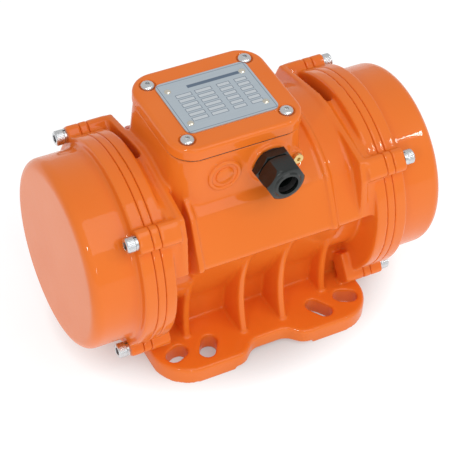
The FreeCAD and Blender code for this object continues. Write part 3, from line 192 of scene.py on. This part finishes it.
class Finish:
    """A material in the making: its tree, its shader and the surface's own millimetres."""

    def __init__(self, name, **constants):
        self.material = bpy.data.materials.new(name)
        self.material.use_nodes = True
        self.tree = self.material.node_tree
        self.shader = self.tree.nodes["Principled BSDF"]
        for socket, value in constants.items():
            self.set(socket.replace("_", " "), value)
        place = self.node("ShaderNodeTexCoord", out="Object")
        self.mm = self.node("ShaderNodeMapping", {}, {"Vector": place, "Scale": (1 / MM,) * 3})

    def join(self, value, socket):
        if isinstance(value, Signal):
            self.tree.links.new(value.socket, socket)
        else:
            socket.default_value = value

    def node(self, kind, settings=(), sockets=(), out=0):
        """Adds one node: its settings first, then what each socket takes."""
        made = self.tree.nodes.new(kind)
        for name, value in dict(settings).items():
            setattr(made, name, value)
        for name, value in dict(sockets).items():
            self.join(value, made.inputs[name])
        return Signal(self, made.outputs[out])

    def set(self, socket, value):
        self.join(value, self.shader.inputs[socket])

    def stretched(self, x, y, z):
        """The millimetres with each direction scaled, for grain that runs one way."""
        return self.node("ShaderNodeMapping", {}, {"Vector": self.mm, "Scale": (x, y, z)})

    def noise(self, size, detail=2.0, where=None):
        """Cloudy values from 0 to 1 whose blots are about size millimetres wide."""
        return self.node("ShaderNodeTexNoise", {}, {"Vector": where or self.mm, "Scale": 1 / size,
                                                    "Detail": detail})

    def axes(self):
        """The three coordinates as separate signals."""
        split = self.node("ShaderNodeSeparateXYZ", {}, {"Vector": self.mm})
        return [Signal(self, split.socket.node.outputs[i]) for i in range(3)]

    def mix(self, first, second, share):
        """A colour between two: share 0 gives the first, 1 the second."""
        return self.node("ShaderNodeMix", {"data_type": "RGBA"}, {0: share, 6: first, 7: second}, out=2)

    def relief(self, height_mm):
        """Bumps whose height is given in millimetres."""
        bump = self.node("ShaderNodeBump", {}, {"Height": height_mm, "Distance": MM, "Strength": 1.0})
        self.set("Normal", bump)


def colour(red, green, blue):
    return (red, green, blue, 1.0)


# %% [markdown]
# ## Enamel over a sand casting
# The housing is aluminium cast in a mould, then sprayed. The casting's skin is never quite flat,
# the paint flows into a fine orange-peel, and it lies thicker and redder in some places. So the
# colour drifts slowly, the relief has a broad wave, a fine peel and a finer grit, and a clear coat
# lies on top.

# %% Orange enamel
def orange_enamel():
    paint = Finish("orange_enamel", IOR=1.5, Specular_IOR_Level=0.08, Coat_Roughness=0.05, Coat_IOR=1.5)
    drift, speckle = paint.noise(38.0, 1.0), paint.noise(1.7, 3.0)
    thick, thin = colour(0.80, 0.165, 0.014), colour(0.86, 0.195, 0.020)
    paint.set("Base Color", paint.mix(thick, thin, drift))
    paint.set("Roughness", 0.36 + 0.10 * speckle)
    paint.set("Coat Weight", 0.48 + 0.2 * drift)
    wave, peel, grit = paint.noise(9.0, 1.0), paint.noise(1.6, 1.0), paint.noise(0.6, 2.0)
    paint.relief(0.10 * wave + 0.014 * peel + 0.004 * grit)
    return paint.material


enamel = orange_enamel()
print("enamel ready")

# %% [markdown]
# ## Bare metals
# Each metal tells how it was made. Zinc plate is bright with a faint bluish and yellowish cloud,
# nickel is smoother and warmer, ground steel keeps fine rings from the wheel, laminated cores show
# the edges of their sheets, and a flame-cut weight is dark and a little rough.

# %% Metals
def plated(name, dark, light, rough, blot):
    """Plated metal: the colour clouds over, and handling leaves duller blots."""
    metal = Finish(name, Metallic=1.0)
    cloud, wear = metal.noise(blot, 2.0), metal.noise(blot / 5, 3.0)
    metal.set("Base Color", metal.mix(dark, light, cloud))
    metal.set("Roughness", rough + 0.14 * wear)
    metal.relief(0.006 * wear + 0.004 * metal.noise(0.35, 2.0))
    return metal.material


def turned_steel():
    """Ground bar: hair-thin rings round the shaft, which are stripes along X."""
    metal = Finish("ground_steel", Metallic=1.0)
    rings = metal.noise(1.0, 3.0, metal.stretched(9.0, 0.12, 0.12))
    metal.set("Base Color", metal.mix(colour(0.50, 0.51, 0.52), colour(0.66, 0.67, 0.68), rings))
    metal.set("Roughness", 0.20 + 0.18 * rings)
    metal.relief(0.006 * rings)
    return metal.material


SHEET_THICK, WIRE_THICK = 0.5, 0.9          # millimetres


def laminated_steel():
    """A stack of thin sheets: the joint is dark where X, counted in sheets, is near a whole number."""
    metal = Finish("lamination_steel", Metallic=0.9)
    along = metal.axes()[0]
    joint = abs((along / SHEET_THICK).wrapped() - 0.5).step(0.38, 0.5)
    stain = metal.noise(7.0, 3.0)
    sheet, gap = colour(0.27, 0.28, 0.30), colour(0.12, 0.115, 0.11)
    metal.set("Base Color", metal.mix(sheet, gap, joint * 0.8 + stain * 0.2))
    metal.set("Roughness", 0.42 + 0.2 * stain)
    metal.relief(0.05 * (1 - joint))
    return metal.material


def flame_cut_steel():
    """Thick plate cut by flame and oiled: dark scale, and drag lines through its thickness."""
    metal = Finish("weight_steel", Metallic=0.85)
    scale, drag = metal.noise(5.0, 4.0), metal.noise(1.0, 2.0, metal.stretched(0.15, 1.4, 1.4))
    metal.set("Base Color", metal.mix(colour(0.11, 0.11, 0.12), colour(0.30, 0.30, 0.31), scale))
    metal.set("Roughness", 0.36 + 0.25 * scale)
    metal.relief(0.05 * scale + 0.06 * drag)
    return metal.material


def wound_copper():
    """Varnished wire laid side by side: a ridge for each wire thickness along X, whose height is one
    less the square of the distance from its crest, with amber varnish in the grooves."""
    metal = Finish("copper_winding", Metallic=0.8)
    across = metal.axes()[0]
    ridge = abs((across / WIRE_THICK).wrapped() - 0.5) * 2
    patch = metal.noise(6.0, 2.0)
    wire, varnish = colour(0.58, 0.22, 0.08), colour(0.30, 0.10, 0.04)
    metal.set("Base Color", metal.mix(wire, varnish, ridge * 0.6 + patch * 0.4))
    metal.set("Roughness", 0.25 + 0.2 * patch)
    metal.relief(0.25 * (1 - ridge * ridge))
    return metal.material


zinc = plated("zinc_plate", colour(0.58, 0.60, 0.64), colour(0.80, 0.80, 0.78), rough=0.20, blot=6.0)
nickel = plated("nickel_plate", colour(0.62, 0.57, 0.47), colour(0.84, 0.80, 0.70), rough=0.14, blot=3.0)
brass = plated("brass", colour(0.70, 0.47, 0.17), colour(0.84, 0.66, 0.32), rough=0.22, blot=4.0)
race_steel = plated("bearing_steel", colour(0.62, 0.63, 0.65), colour(0.74, 0.75, 0.77),
                    rough=0.08, blot=5.0)
cast_metal = plated("cast_aluminium", colour(0.52, 0.53, 0.54), colour(0.70, 0.71, 0.72),
                    rough=0.36, blot=8.0)
ground_metal, sheet_metal = turned_steel(), laminated_steel()
weight_metal, copper = flame_cut_steel(), wound_copper()
print("metals ready")

# %% [markdown]
# ## Plastic and rubber
# The gland is black polyamide, satin from its mould, with the faint flow marks of thirty percent
# glass fibre. The seals are duller rubber that takes dust, and the terminal block is brown resin
# with pale flecks of filler.

# %% Plastics
def moulded(name, base, dusty, rough, grain, depth):
    """Moulded plastic or rubber: a fine grain, and dust that greys what it settles on."""
    skin = Finish(name, IOR=1.5)
    dust, texture = skin.noise(7.0, 3.0), skin.noise(grain, 2.0)
    skin.set("Base Color", skin.mix(base, dusty, dust.step(0.45, 0.8)))
    skin.set("Roughness", rough + 0.12 * dust)
    skin.relief(depth * texture)
    return skin.material


polyamide = moulded("black_polyamide", colour(0.006, 0.009, 0.008), colour(0.013, 0.017, 0.016),
                    rough=0.18, grain=0.8, depth=0.008)
rubber = moulded("black_rubber", colour(0.014, 0.014, 0.015), colour(0.045, 0.043, 0.040),
                 rough=0.62, grain=0.5, depth=0.02)
resin = moulded("moulded_resin", colour(0.075, 0.040, 0.024), colour(0.15, 0.095, 0.06),
                rough=0.42, grain=0.7, depth=0.02)
print("plastics ready")

# %% [markdown]
# ## The nameplate
# A nameplate is a thin brushed sheet with a printed form: rules, boxes and a heading band. Here it
# is a blank form, as it is before anything is stamped in. The print is worked out from the
# distance to the plate's middle, so it stays sharp at any size, and each box is the overlap of a
# band along the plate and a band across it.

# %% Nameplate print
plate_low, plate_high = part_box("nameplate")
plate_middle = (plate_low + plate_high) / 2 / MM
plate_half = (plate_high - plate_low) / 2 / MM
INK_EDGE, INK_LINE = 0.12, 0.3              # how softly the print ends, and how wide a line is
ROW_PITCH, ROW_COUNT, ROW = 4.7, 6, (0.7, 4.0)   # each row's box lies between these heights of it
FORM_TOP = 11.8
BOX_SPANS = [(-24.0, -13.0), (-10.5, 1.0), (5.0, 14.0), (17.5, 26.0)]
HEADING = (-13.0, 24.0, 14.8, 17.6)         # left, right, low and high of the heading band
BORDER = (1.9, 1.5)                         # the border line's two sides, in from the plate's edge


def band(value, low, high):
    """1 between low and high, falling to 0 within the ink's soft edge."""
    return value.step(low - INK_EDGE, low + INK_EDGE) * (1 - value.step(high - INK_EDGE, high + INK_EDGE))


def brushed_plate():
    plate = Finish("plate_aluminium", Metallic=0.85)
    x, y, _ = plate.axes()
    across, up = x - plate_middle.x, y - plate_middle.y
    hairs = plate.noise(1.0, 3.0, plate.stretched(0.05, 4.0, 1.0))
    row = (FORM_TOP - up) / ROW_PITCH
    level = row.wrapped() * ROW_PITCH
    form = band(up, FORM_TOP - ROW_COUNT * ROW_PITCH, FORM_TOP)
    boxes, insides = 0.0, 0.0
    for low, high in BOX_SPANS:
        boxes = boxes + band(across, low, high) * band(level, *ROW)
        inside = band(across, low + INK_LINE, high - INK_LINE)
        insides = insides + inside * band(level, ROW[0] + INK_LINE, ROW[1] - INK_LINE)
    (far_x, near_x), (far_y, near_y) = [[half - inset for inset in BORDER] for half in plate_half.xy]
    edge = band(abs(across), far_x, near_x) * band(abs(up), -1, near_y)
    edge = edge + band(abs(up), far_y, near_y) * band(abs(across), -1, near_x)
    left, right, low, high = HEADING
    heading = band(across, left, right) * band(up, low, high)
    ink = (boxes - insides) * form + edge * 0.7 + heading * 0.8
    metal = plate.mix(colour(0.50, 0.58, 0.64), colour(0.66, 0.73, 0.79), hairs)
    pale = plate.mix(metal, colour(0.80, 0.84, 0.87), insides * form * 0.7)
    plate.set("Base Color", plate.mix(pale, colour(0.075, 0.13, 0.22), ink.maths("MINIMUM", ink, 1.0)))
    plate.set("Roughness", 0.36 + 0.12 * hairs)
    plate.relief(0.006 * hairs + 0.01 * ink)
    return plate.material


nameplate_metal = brushed_plate()
print("nameplate", [round(2 * side, 1) for side in plate_half], "mm, a blank form of", ROW_COUNT, "rows")

# %% [markdown]
# ## Finishes by slot
# The record already says what each node is made of. One table gives each of its slots a finish,
# and a loop lays it on every node, so none is forgotten.

# %% Lay the finishes on
FINISH_OF = {"orange_paint": enamel, "zinc_plate": zinc, "nickel_plate": nickel, "brass": brass,
             "plate_aluminium": nameplate_metal, "black_polyamide": polyamide, "black_rubber": rubber,
             "moulded_resin": resin, "lamination_steel": sheet_metal, "copper_winding": copper,
             "cast_aluminium": cast_metal, "ground_steel": ground_metal, "bearing_steel": race_steel,
             "weight_steel": weight_metal}
slot_of = {part["node"]: part["material_slot"] for part in frame["record"]["subparts"]}
for name, piece in nodes.items():
    piece.data.materials.clear()
    piece.data.materials.append(FINISH_OF[slot_of[name]])
print(len(slot_of), "nodes in", len(set(slot_of.values())), "finishes")

# %% [markdown]
# ## Castings with soft edges
# A sand casting has no sharp edge: the pattern's corners are rounded so that the sand holds, and
# paint softens them again. A bevel would have to be chosen edge by edge on a shape this joined
# up. Instead the whole surface is drawn again on a fine grid and each point moves towards the
# middle of its neighbours a few times, which rounds edges and fills inner corners alike, as the
# foundry's fillets do. Flat walls stay flat, because there the middle is where the point was.

# %% Cast skins
MOST_TRIANGLES = 180_000
SAME_POINT = 1e-6            # metres: corners of the loose triangles nearer than this are one


def merged_copy(node):
    """The node's mesh with the loose triangles joined into one closed surface."""
    mesh = nodes[node].data.copy()
    work = bmesh.new()
    work.from_mesh(mesh)
    bmesh.ops.remove_doubles(work, verts=work.verts, dist=SAME_POINT)
    work.to_mesh(mesh)
    work.free()
    return mesh


def applied(piece):
    """Makes the piece's modifiers part of its mesh."""
    bpy.context.view_layer.update()
    finished = bpy.data.meshes.new_from_object(piece.evaluated_get(bpy.context.evaluated_depsgraph_get()))
    piece.modifiers.clear()
    piece.data = finished


def stand_in(name, mesh, node, body):
    """A piece that stands for a CAD node: it rides on the node's body and wears its finish."""
    piece = bpy.data.objects.new(name, mesh)
    bpy.context.scene.collection.objects.link(piece)
    mesh.materials.clear()
    mesh.materials.append(FINISH_OF[slot_of[node]])
    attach(piece, body)
    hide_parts(node)
    return piece


def cast_skin(node, grid, passes):
    """The node drawn again on a grid of that width in millimetres, then smoothed."""
    piece = stand_in(node + "_skin", merged_copy(node), node, "housing")
    remesh = piece.modifiers.new("grid", "REMESH")
    remesh.mode, remesh.voxel_size, remesh.use_smooth_shade = "VOXEL", grid * MM, True
    soften = piece.modifiers.new("soften", "SMOOTH")
    soften.factor, soften.iterations = 0.5, passes
    applied(piece)
    triangles = 2 * len(piece.data.polygons)
    if triangles > MOST_TRIANGLES:
        thin = piece.modifiers.new("thin", "DECIMATE")
        thin.ratio = MOST_TRIANGLES / triangles
        applied(piece)
    weigh = piece.modifiers.new("weigh", "WEIGHTED_NORMAL")
    weigh.keep_sharp = False
    applied(piece)
    print(node, "from", triangles, "triangles to", len(piece.data.polygons), "faces")


CAST_GRIDS = {"body_casting": (0.9, 9), "terminal_box_lid": (0.5, 4),      # millimetres, passes
              "left_bearing_flange": (0.8, 5), "left_end_cover": (0.8, 6),
              "right_bearing_flange": (0.8, 5), "right_end_cover": (0.8, 6)}
coarser = 1.0
for node, (grid, passes) in CAST_GRIDS.items():
    cast_skin(node, grid * coarser, passes)

# %% [markdown]
# ## Screws
# A socket cap screw has a knurled side, so that fingers can turn it, a small chamfer and a six-sided
# hole, and a button screw has a low dome instead. Each is one surface over two parameters: the angle
# round the screw, and a step from the middle of the shank's tip, up the shank and the head's side,
# over the top and down into the hole. Each step has a height, a radius, how much of the knurl it
# takes and how six-sided it is, so a whole screw is a few lines of arithmetic on arrays. The screws
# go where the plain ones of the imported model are, which are found by joining up each node's
# triangles and taking its separate pieces.

# %% Separate pieces of a node
def islands(node):
    """The lowest and highest corner of each separate piece of a node, in millimetres."""
    work = bmesh.new()
    work.from_mesh(nodes[node].data)
    bmesh.ops.remove_doubles(work, verts=work.verts, dist=SAME_POINT)
    left, boxes = set(work.verts), []
    while left:
        front, found = [left.pop()], []
        while front:
            vertex = front.pop()
            found.append(vertex.co / MM)
            reached = {edge.other_vert(vertex) for edge in vertex.link_edges} & left
            left -= reached
            front += reached
        points = np.array(found)
        boxes.append((points.min(axis=0), points.max(axis=0)))
    work.free()
    return sorted(boxes, key=lambda box: tuple(box[0]))


print("screws on the left cover:", len(islands("left_cover_screws")))


# %% A turned piece as one surface
POLE_POINT = 1e-7            # metres: the points that close a pole or a seam are nearer than this


def closed_grid(rings, name, hoop=False):
    """A mesh from an array of rings by angles by xyz: each quad joins a ring to the next, and the
    last column joins the first. The first and last ring are single points, unless it is a hoop,
    where the last ring joins the first."""
    count, around = rings.shape[:2]
    ring, angle = np.meshgrid(np.arange(count if hoop else count - 1), np.arange(around), indexing="ij")
    after, ahead = (ring + 1) % count, (angle + 1) % around
    faces = np.stack([ring * around + angle, ring * around + ahead, after * around + ahead,
                      after * around + angle], axis=-1).reshape(-1, 4)
    mesh = bpy.data.meshes.new(name)
    mesh.from_pydata((rings.reshape(-1, 3) * MM).tolist(), [], faces.tolist())
    work = bmesh.new()
    work.from_mesh(mesh)
    bmesh.ops.remove_doubles(work, verts=work.verts, dist=POLE_POINT)
    bmesh.ops.recalc_face_normals(work, faces=work.faces)
    work.to_mesh(mesh)
    work.free()
    return mesh


def turned_rings(steps, around, knurls=0, flats=0.0):
    """Local rings of a piece that points along +Z.
    Each step is (height, radius, knurl depth, share of hexagon). The radius at angle t is the round
    radius, moved towards flats / 2 / cos(t folded into 30 degrees each way) by the share of hexagon,
    plus the knurl depth times cos(knurls * t)."""
    height, radius, knurl, six = (np.array(column)[:, None] for column in zip(*steps))
    t = np.linspace(0.0, 2 * np.pi, around, endpoint=False)[None, :]
    folded = (t + np.pi / 6) % (np.pi / 3) - np.pi / 6
    r = radius * (1 - six) + flats / 2 / np.cos(folded) * six + knurl * np.cos(knurls * t)
    return np.stack([r * np.cos(t), r * np.sin(t), height + 0 * t], axis=-1)


def placed(rings, origin, axis):
    """The rings turned so that their +Z points along axis, and moved to origin."""
    turn = np.array(Vector((0, 0, 1)).rotation_difference(Vector(axis)).to_matrix())
    return rings @ turn.T + np.asarray(origin)


# %% The steps of a screw
TIP_SHARE = 0.8                      # the tip's radius as a share of the shank's
KNURL, KNURLS = 0.1, 36              # how deep in millimetres, and how many round the head
CAP_CHAMFER = 0.12                   # as a share of the head's height
DOME = (0.12, 0.92, 9)               # first and last angle as shares of a right angle, and steps
MOUTH_FALL = 0.25                    # from the socket's round mouth down to its flats


def cap_head(head, rise):
    """From the underside at height 0, up the knurled side and over the chamfer to the flat top."""
    chamfer, side = CAP_CHAMFER * rise, head - KNURL
    return [(0, head - 0.35, 0, 0), (0.3, side, 0, 0), (0.5, side, KNURL, 0),
            (rise - chamfer - 0.4, side, KNURL, 0), (rise - chamfer, side, 0, 0),
            (rise - 0.1, head - chamfer, 0, 0), (rise, head - chamfer - 0.2, 0, 0)]


def button_head(head, rise):
    """From the underside at height 0, over a dome: at angle a its height is the rise times sin(a) to
    the power 0.9, and its radius the head's times cos(a) to the power 0.55."""
    first, last, steps = DOME
    angles = np.linspace(first, last, steps) * np.pi / 2
    dome = [(rise * math.sin(a) ** 0.9, head * math.cos(a) ** 0.55, 0, 0) for a in angles]
    return [(0, head - 0.2, 0, 0)] + dome


def screw_steps(kind, head, length):
    """From the shank's tip up to the head, over it and down into the socket, for a head of that
    radius. Heights count from the head's underside."""
    shank, flats = head * kind["shank"], kind["flats"]
    up_shank = [(-length, 0, 0, 0), (-length, shank * TIP_SHARE, 0, 0),
                (kind["taper"] - length, shank, 0, 0), (-0.01, shank, 0, 0), (0, shank + 0.1, 0, 0)]
    over_head = kind["form"](head, kind["rise"] - kind["lowered"])
    top = over_head[-1][0]
    floor = top - kind["depth"]
    down_socket = [(top, flats * kind["mouth"], 0, 0), (top - MOUTH_FALL, flats / 2, 0, 1),
                   (floor, flats / 2, 0, 1), (floor - kind["cone"], 0, 0, 0)]
    return up_shank + over_head + down_socket


# %% Screws of the covers, the bearings and the lid
# along is the axis, 0 for X and 2 for Z. The shank is a share of the head's radius, the taper is
# that of its tip, the mouth is a share of the socket's flats, and its cone lies below its depth.
# A retainer screw's head is lowered by a running gap, because the weights pass over it.
AROUND, SCREW_CREASE = 144, math.radians(32)
CAP_SCREW = {"form": cap_head, "taper": 0.6, "mouth": 0.64, "cone": 0.5, "lowered": 0.0}
BUTTON_SCREW = {"form": button_head, "taper": 0.5, "mouth": 0.62, "cone": 0.3, "lowered": 0.0}
COVER_SCREW = {**CAP_SCREW, "along": 0, "rise": 6.0, "depth": 3.0, "flats": 5.0, "shank": 0.6}
LID_SCREW = {**BUTTON_SCREW, "along": 2, "rise": 3.0, "depth": 1.6, "flats": 3.0, "shank": 0.526}
RETAINER_SCREW = {**BUTTON_SCREW, "along": 0, "rise": 2.4, "depth": 1.2, "flats": 2.5, "shank": 0.55,
                  "lowered": 0.3}


def one_screw(kind, low, high, side):
    """The rings of one screw along an axis: its head is at the side's end of its box, and as wide."""
    along, rise = kind["along"], kind["rise"]
    head, length = (high[1] - low[1]) / 2, high[along] - low[along] - rise
    seat, axis = (low + high) / 2, [0, 0, 0]
    seat[along] = high[along] - rise if side > 0 else low[along] + rise
    axis[along] = side
    rings = turned_rings(screw_steps(kind, head, length), AROUND, KNURLS, kind["flats"])
    return placed(rings, seat, axis)


def screw_set(node, kind, side):
    """One piece for all the screws of a node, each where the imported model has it."""
    boxes = islands(node)
    joined = bmesh.new()
    for low, high in boxes:
        joined.from_mesh(closed_grid(one_screw(kind, low, high, side), node))
    whole = bpy.data.meshes.new(node + "_turned")
    joined.to_mesh(whole)
    joined.free()
    whole.shade_smooth()
    whole.set_sharp_from_angle(angle=SCREW_CREASE)
    stand_in(node + "_turned", whole, node, "housing")
    print(node, len(boxes), "screws,", len(whole.polygons), "faces")


for end, side in (("left", -1), ("right", 1)):
    screw_set(end + "_cover_screws", COVER_SCREW, side)
    screw_set(end + "_retainer_screws", RETAINER_SCREW, side)
screw_set("lid_screws", LID_SCREW, 1)

# %% [markdown]
# ## The closed cable entry
# The box's front has a second entry that is cast shut: a raised ring round a raised disc, which a
# fitter knocks out when another gland is wanted. Both are turned from a short profile of radius
# and height, and stand on the wall at the height of the gland.

# %% Ring and disc of the closed entry
WALL_Y, ENTRY_X = -40.77, -29.0
ENTRY_RISE, ENTRY_ROOT, EDGE = 1.7, -1.5, 0.7       # out from the wall, into it, and the chamfer
RING, RING_FLARE, DISC_RADIUS = (8.7, 11.7), 0.3, 6.3
ENTRY_AROUND, ENTRY_CREASE = 96, math.radians(50)
entry_middle = (ENTRY_X, WALL_Y, (sum(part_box("cable_gland_nut"), Vector()) / 2 / MM).z)
inner, outer = RING
shoulder = ENTRY_RISE - EDGE
ring_steps = [(ENTRY_ROOT, inner, 0, 0), (shoulder, inner, 0, 0), (ENTRY_RISE, inner + EDGE, 0, 0),
              (ENTRY_RISE, outer - EDGE, 0, 0), (shoulder, outer, 0, 0),
              (ENTRY_ROOT, outer + RING_FLARE, 0, 0)]
disc_steps = [(ENTRY_ROOT, 0, 0, 0), (ENTRY_ROOT, DISC_RADIUS, 0, 0), (shoulder, DISC_RADIUS, 0, 0),
              (ENTRY_RISE, DISC_RADIUS - EDGE, 0, 0), (ENTRY_RISE, 0, 0, 0)]
for name, steps, hoop in (("closed_entry_ring", ring_steps, True), ("closed_entry_disc", disc_steps, False)):
    mesh = closed_grid(placed(turned_rings(steps, ENTRY_AROUND), entry_middle, (0, -1, 0)), name, hoop)
    mesh.shade_smooth()
    mesh.set_sharp_from_angle(angle=ENTRY_CREASE)
    stand_in(name, mesh, "body_casting", "housing")
print("closed entry at", [round(value, 1) for value in entry_middle])

# %% [markdown]
# ## Floor
# The motor stands on a pale sweep of paper, matt and very faintly fibrous, large enough that its
# edge never shows. The paper glows, because a lit sweep is as bright as the room behind it. Under
# the motor the glow is dimmed in a soft oval, a painted shadow, so the foot and its slots stand in
# painted shade.

# %% Floor
HALF_SIDE = 4.0                              # metres
SHADE_REACH = (100.0, 74.0)                  # half widths in millimetres of the oval of painted shadow
SHADE_FADE = (0.3, 1.7)                      # squared shares where the glow starts and is full
# the dim glow under the motor is a painted shadow, and the full glow is the paper's even brightness
PAINTED_SHADOW, GLOWING, GLOW = colour(0.10, 0.10, 0.10), colour(1.0, 1.0, 1.0), 0.72


def paper_floor(half_side):
    """A square sheet at height 0. Its glow grows with the sum of the squares of x and y, each taken
    as a share of the oval's half width, so the glow is dimmed under the motor as a painted shadow."""
    mesh = bpy.data.meshes.new("floor")
    corners = np.array([[-1, -1, 0], [1, -1, 0], [1, 1, 0], [-1, 1, 0]], float) * half_side
    mesh.from_pydata(corners.tolist(), [], [(0, 1, 2, 3)])
    paper = Finish("paper", Roughness=0.9)
    fibre = paper.noise(3.0, 3.0)
    paper.set("Base Color", paper.mix(colour(0.38, 0.40, 0.41), colour(0.40, 0.42, 0.43), fibre))
    x, y, _ = paper.axes()
    # painted shadow: the glow fades from dim under the motor to full past the oval
    past_painted_shadow = (x * x / SHADE_REACH[0] ** 2 + y * y / SHADE_REACH[1] ** 2).step(*SHADE_FADE)
    paper.set("Emission Color", paper.mix(PAINTED_SHADOW, GLOWING, past_painted_shadow))
    paper.set("Emission Strength", GLOW)
    mesh.materials.append(paper.material)
    floor = bpy.data.objects.new("floor", mesh)
    bpy.context.scene.collection.objects.link(floor)
    return floor


paper_floor(HALF_SIDE)
print("floor laid")

# %% [markdown]
# ## The end
# Looks never change how large the motor is, and a last line says that the scene is dressed.

# %% End
print("scene dressed")
